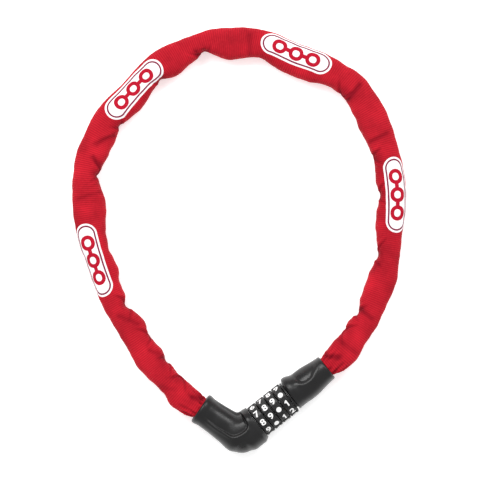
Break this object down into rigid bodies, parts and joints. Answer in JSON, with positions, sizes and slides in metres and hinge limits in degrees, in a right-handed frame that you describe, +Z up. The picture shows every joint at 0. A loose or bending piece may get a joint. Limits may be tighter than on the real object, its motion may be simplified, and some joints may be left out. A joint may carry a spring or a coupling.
{
  "type": "combination chain lock",
  "caption": "Chain in a red woven sleeve, closed into a loop by an elbow lock with number dials and a straight plug whose toothed bolt slides out along the dial axis.",
  "frame": {"origin": "under the middle of the outline, on the ground plane that the lock lies on", "axes": "+Z up from the ground, +Y across the loop away from the elbow and dials, +X to the right seen from above with the elbow nearest"},
  "size_m": [0.2283, 0.2907, 0.0258],
  "materials": {
    "shell_plastic": "satin black moulded plastic, softly glossy on its high spots",
    "dial_plastic": "black moulded plastic with a fine knurl between the digits",
    "white_print": "white printed digits, marks and badge fields",
    "sleeve_fabric": "red ribbed woven polyester tube, matt, with creases",
    "chain_steel": "hardened square-section chain, dull zinc",
    "die_cast_zinc": "die-cast zinc, unpolished",
    "pin_steel": "turned steel, bright",
    "spring_steel": "rolled spring steel",
    "ring_brass": "machined brass"
  },
  "bodies": {
    "lock_body": {"elbow_cover_upper": "shell_plastic", "elbow_cover_lower": "shell_plastic", "elbow_core": "die_cast_zinc", "elbow_chain_pin": "pin_steel", "spindle_tube": "pin_steel", "click_spring": "spring_steel", "spring_washer": "spring_steel", "index_ring": "shell_plastic", "link_01": "chain_steel", "sleeve": "sleeve_fabric"},
    "plug": {"bolt": "pin_steel", "bolt_pin": "pin_steel", "plug_core": "die_cast_zinc", "plug_cover": "shell_plastic", "plug_chain_pin": "pin_steel", "link_29": "chain_steel"},
    "dial_1": {"dial_1": "dial_plastic", "gate_ring_1": "ring_brass"},
    "dial_2": {"dial_2": "dial_plastic", "gate_ring_2": "ring_brass"},
    "dial_3": {"dial_3": "dial_plastic", "gate_ring_3": "ring_brass"},
    "dial_4": {"dial_4": "dial_plastic", "gate_ring_4": "ring_brass"},
    "link_02": {"link_02": "chain_steel"},
    "link_03": {"link_03": "chain_steel"},
    "link_04": {"link_04": "chain_steel"},
    "link_05": {"link_05": "chain_steel"},
    "link_06": {"link_06": "chain_steel"},
    "link_07": {"link_07": "chain_steel"},
    "link_08": {"link_08": "chain_steel"},
    "link_09": {"link_09": "chain_steel"},
    "link_10": {"link_10": "chain_steel"},
    "link_11": {"link_11": "chain_steel"},
    "link_12": {"link_12": "chain_steel"},
    "link_13": {"link_13": "chain_steel"},
    "link_14": {"link_14": "chain_steel"},
    "link_15": {"link_15": "chain_steel"},
    "link_16": {"link_16": "chain_steel"},
    "link_17": {"link_17": "chain_steel"},
    "link_18": {"link_18": "chain_steel"},
    "link_19": {"link_19": "chain_steel"},
    "link_20": {"link_20": "chain_steel"},
    "link_21": {"link_21": "chain_steel"},
    "link_22": {"link_22": "chain_steel"},
    "link_23": {"link_23": "chain_steel"},
    "link_24": {"link_24": "chain_steel"},
    "link_25": {"link_25": "chain_steel"},
    "link_26": {"link_26": "chain_steel"},
    "link_27": {"link_27": "chain_steel"},
    "link_28": {"link_28": "chain_steel"}
  },
  "joints": [
    {"name": "plug_pull", "type": "slide", "parent": "lock_body", "child": "plug", "axis": [0.7848, 0.6198, 0], "range_m": [0, 0.032], "deforming": ["sleeve"]},
    {"name": "dial_1_turn", "type": "hinge", "parent": "lock_body", "child": "dial_1", "pos_m": [0.0117, -0.1248, 0.0128], "axis": [0.7848, 0.6198, 0], "continuous": true},
    {"name": "dial_2_turn", "type": "hinge", "parent": "lock_body", "child": "dial_2", "pos_m": [0.0117, -0.1248, 0.0128], "axis": [0.7848, 0.6198, 0], "continuous": true},
    {"name": "dial_3_turn", "type": "hinge", "parent": "lock_body", "child": "dial_3", "pos_m": [0.0117, -0.1248, 0.0128], "axis": [0.7848, 0.6198, 0], "continuous": true},
    {"name": "dial_4_turn", "type": "hinge", "parent": "lock_body", "child": "dial_4", "pos_m": [0.0117, -0.1248, 0.0128], "axis": [0.7848, 0.6198, 0], "continuous": true},
    {"name": "link_02_swing", "type": "hinge", "parent": "lock_body", "child": "link_02", "pos_m": [-0.0294, -0.11255, 0.0128], "axis": [0, 0, 1], "range_deg": [-1.44, 0.05]},
    {"name": "link_03_swing", "type": "hinge", "parent": "link_02", "child": "link_03", "pos_m": [-0.04642, -0.09753, 0.01163], "axis": [0, 0, 1], "range_deg": [-1.44, 0.05]},
    {"name": "link_04_swing", "type": "hinge", "parent": "link_02", "child": "link_04", "pos_m": [-0.05351, -0.08871, 0.01055], "axis": [0, 0, 1], "range_deg": [-2.83, 0.05]},
    {"name": "link_05_swing", "type": "hinge", "parent": "link_04", "child": "link_05", "pos_m": [-0.07357, -0.06125, 0.00927], "axis": [0, 0, 1], "range_deg": [-1.44, 0.05]},
    {"name": "link_06_swing", "type": "hinge", "parent": "link_04", "child": "link_06", "pos_m": [-0.07909, -0.0513, 0.00928], "axis": [0, 0, 1], "range_deg": [-2.83, 0.05]},
    {"name": "link_07_swing", "type": "hinge", "parent": "link_06", "child": "link_07", "pos_m": [-0.09353, -0.02049, 0.0093], "axis": [0, 0, 1], "range_deg": [-0.05, 1.36]},
    {"name": "link_08_swing", "type": "hinge", "parent": "link_06", "child": "link_08", "pos_m": [-0.09685, -0.00961, 0.0093], "axis": [0, 0, 1], "range_deg": [-0.05, 2.68]},
    {"name": "link_09_swing", "type": "hinge", "parent": "link_08", "child": "link_09", "pos_m": [-0.10338, 0.02381, 0.0093], "axis": [0, 0, 1], "range_deg": [-0.05, 1.36]},
    {"name": "link_10_swing", "type": "hinge", "parent": "link_08", "child": "link_10", "pos_m": [-0.1032, 0.03516, 0.0093], "axis": [0, 0, 1], "range_deg": [-0.05, 2.68]},
    {"name": "link_11_swing", "type": "hinge", "parent": "link_10", "child": "link_11", "pos_m": [-0.09594, 0.06812, 0.0093], "axis": [0, 0, 1], "range_deg": [-0.05, 1.36]},
    {"name": "link_12_swing", "type": "hinge", "parent": "link_10", "child": "link_12", "pos_m": [-0.08973, 0.07763, 0.0093], "axis": [0, 0, 1], "range_deg": [-0.05, 2.68]},
    {"name": "link_13_swing", "type": "hinge", "parent": "link_12", "child": "link_13", "pos_m": [-0.0685, 0.10427, 0.0093], "axis": [0, 0, 1], "range_deg": [-0.05, 1.36]},
    {"name": "link_14_swing", "type": "hinge", "parent": "link_12", "child": "link_14", "pos_m": [-0.05997, 0.11177, 0.0093], "axis": [0, 0, 1], "range_deg": [-0.05, 2.68]},
    {"name": "link_15_swing", "type": "hinge", "parent": "link_14", "child": "link_15", "pos_m": [-0.0313, 0.12982, 0.0093], "axis": [0, 0, 1], "range_deg": [-0.05, 1.36]},
    {"name": "link_16_swing", "type": "hinge", "parent": "link_18", "child": "link_16", "pos_m": [0.02418, 0.12934, 0.0093], "axis": [0, 0, 1], "range_deg": [-2.68, 0.05]},
    {"name": "link_17_swing", "type": "hinge", "parent": "link_18", "child": "link_17", "pos_m": [0.03479, 0.12533, 0.0093], "axis": [0, 0, 1], "range_deg": [-1.36, 0.05]},
    {"name": "link_18_swing", "type": "hinge", "parent": "link_20", "child": "link_18", "pos_m": [0.06528, 0.11058, 0.0093], "axis": [0, 0, 1], "range_deg": [-0.05, 1.41]},
    {"name": "link_19_swing", "type": "hinge", "parent": "link_20", "child": "link_19", "pos_m": [0.07469, 0.10425, 0.0093], "axis": [0, 0, 1], "range_deg": [-0.05, 0.732]},
    {"name": "link_20_swing", "type": "hinge", "parent": "link_22", "child": "link_20", "pos_m": [0.0931, 0.07607, 0.0093], "axis": [0, 0, 1], "range_deg": [-0.05, 1.41]},
    {"name": "link_21_swing", "type": "hinge", "parent": "link_22", "child": "link_21", "pos_m": [0.09742, 0.06557, 0.0093], "axis": [0, 0, 1], "range_deg": [-0.05, 0.732]},
    {"name": "link_22_swing", "type": "hinge", "parent": "link_24", "child": "link_22", "pos_m": [0.10286, 0.032, 0.0093], "axis": [0, 0, 1], "range_deg": [-0.05, 1.41]},
    {"name": "link_23_swing", "type": "hinge", "parent": "link_24", "child": "link_23", "pos_m": [0.10366, 0.02066, 0.0093], "axis": [0, 0, 1], "range_deg": [-0.05, 0.732]},
    {"name": "link_24_swing", "type": "hinge", "parent": "link_26", "child": "link_24", "pos_m": [0.0994, -0.01312, 0.00929], "axis": [0, 0, 1], "range_deg": [-0.05, 1.41]},
    {"name": "link_25_swing", "type": "hinge", "parent": "link_26", "child": "link_25", "pos_m": [0.09719, -0.02428, 0.00928], "axis": [0, 0, 1], "range_deg": [-0.05, 0.732]},
    {"name": "link_26_swing", "type": "hinge", "parent": "link_28", "child": "link_26", "pos_m": [0.08409, -0.05558, 0.01035], "axis": [0, 0, 1], "range_deg": [-0.05, 1.41]},
    {"name": "link_27_swing", "type": "hinge", "parent": "link_28", "child": "link_27", "pos_m": [0.07865, -0.06552, 0.01118], "axis": [0, 0, 1], "range_deg": [-0.05, 0.732]},
    {"name": "link_28_swing", "type": "hinge", "parent": "plug", "child": "link_28", "pos_m": [0.06446, -0.08313, 0.0128], "axis": [0, 0, 1], "range_deg": [-0.05, 0.732]}
  ],
  "couplings": [
    {"joint": "link_02_swing", "follows": "plug_pull", "rad_per_m": -0.75865},
    {"joint": "link_03_swing", "follows": "plug_pull", "rad_per_m": -0.75865},
    {"joint": "link_04_swing", "follows": "plug_pull", "rad_per_m": -1.5173},
    {"joint": "link_05_swing", "follows": "plug_pull", "rad_per_m": -0.75865},
    {"joint": "link_06_swing", "follows": "plug_pull", "rad_per_m": -1.5173},
    {"joint": "link_07_swing", "follows": "plug_pull", "rad_per_m": 0.71662},
    {"joint": "link_08_swing", "follows": "plug_pull", "rad_per_m": 1.4332},
    {"joint": "link_09_swing", "follows": "plug_pull", "rad_per_m": 0.71662},
    {"joint": "link_10_swing", "follows": "plug_pull", "rad_per_m": 1.4332},
    {"joint": "link_11_swing", "follows": "plug_pull", "rad_per_m": 0.71662},
    {"joint": "link_12_swing", "follows": "plug_pull", "rad_per_m": 1.4332},
    {"joint": "link_13_swing", "follows": "plug_pull", "rad_per_m": 0.71662},
    {"joint": "link_14_swing", "follows": "plug_pull", "rad_per_m": 1.4332},
    {"joint": "link_15_swing", "follows": "plug_pull", "rad_per_m": 0.71662},
    {"joint": "link_16_swing", "follows": "plug_pull", "rad_per_m": -1.4332},
    {"joint": "link_17_swing", "follows": "plug_pull", "rad_per_m": -0.71662},
    {"joint": "link_18_swing", "follows": "plug_pull", "rad_per_m": 0.74355},
    {"joint": "link_19_swing", "follows": "plug_pull", "rad_per_m": 0.37178},
    {"joint": "link_20_swing", "follows": "plug_pull", "rad_per_m": 0.74355},
    {"joint": "link_21_swing", "follows": "plug_pull", "rad_per_m": 0.37178},
    {"joint": "link_22_swing", "follows": "plug_pull", "rad_per_m": 0.74355},
    {"joint": "link_23_swing", "follows": "plug_pull", "rad_per_m": 0.37178},
    {"joint": "link_24_swing", "follows": "plug_pull", "rad_per_m": 0.74355},
    {"joint": "link_25_swing", "follows": "plug_pull", "rad_per_m": 0.37178},
    {"joint": "link_26_swing", "follows": "plug_pull", "rad_per_m": 0.74355},
    {"joint": "link_27_swing", "follows": "plug_pull", "rad_per_m": 0.37178},
    {"joint": "link_28_swing", "follows": "plug_pull", "rad_per_m": 0.37178}
  ]
}
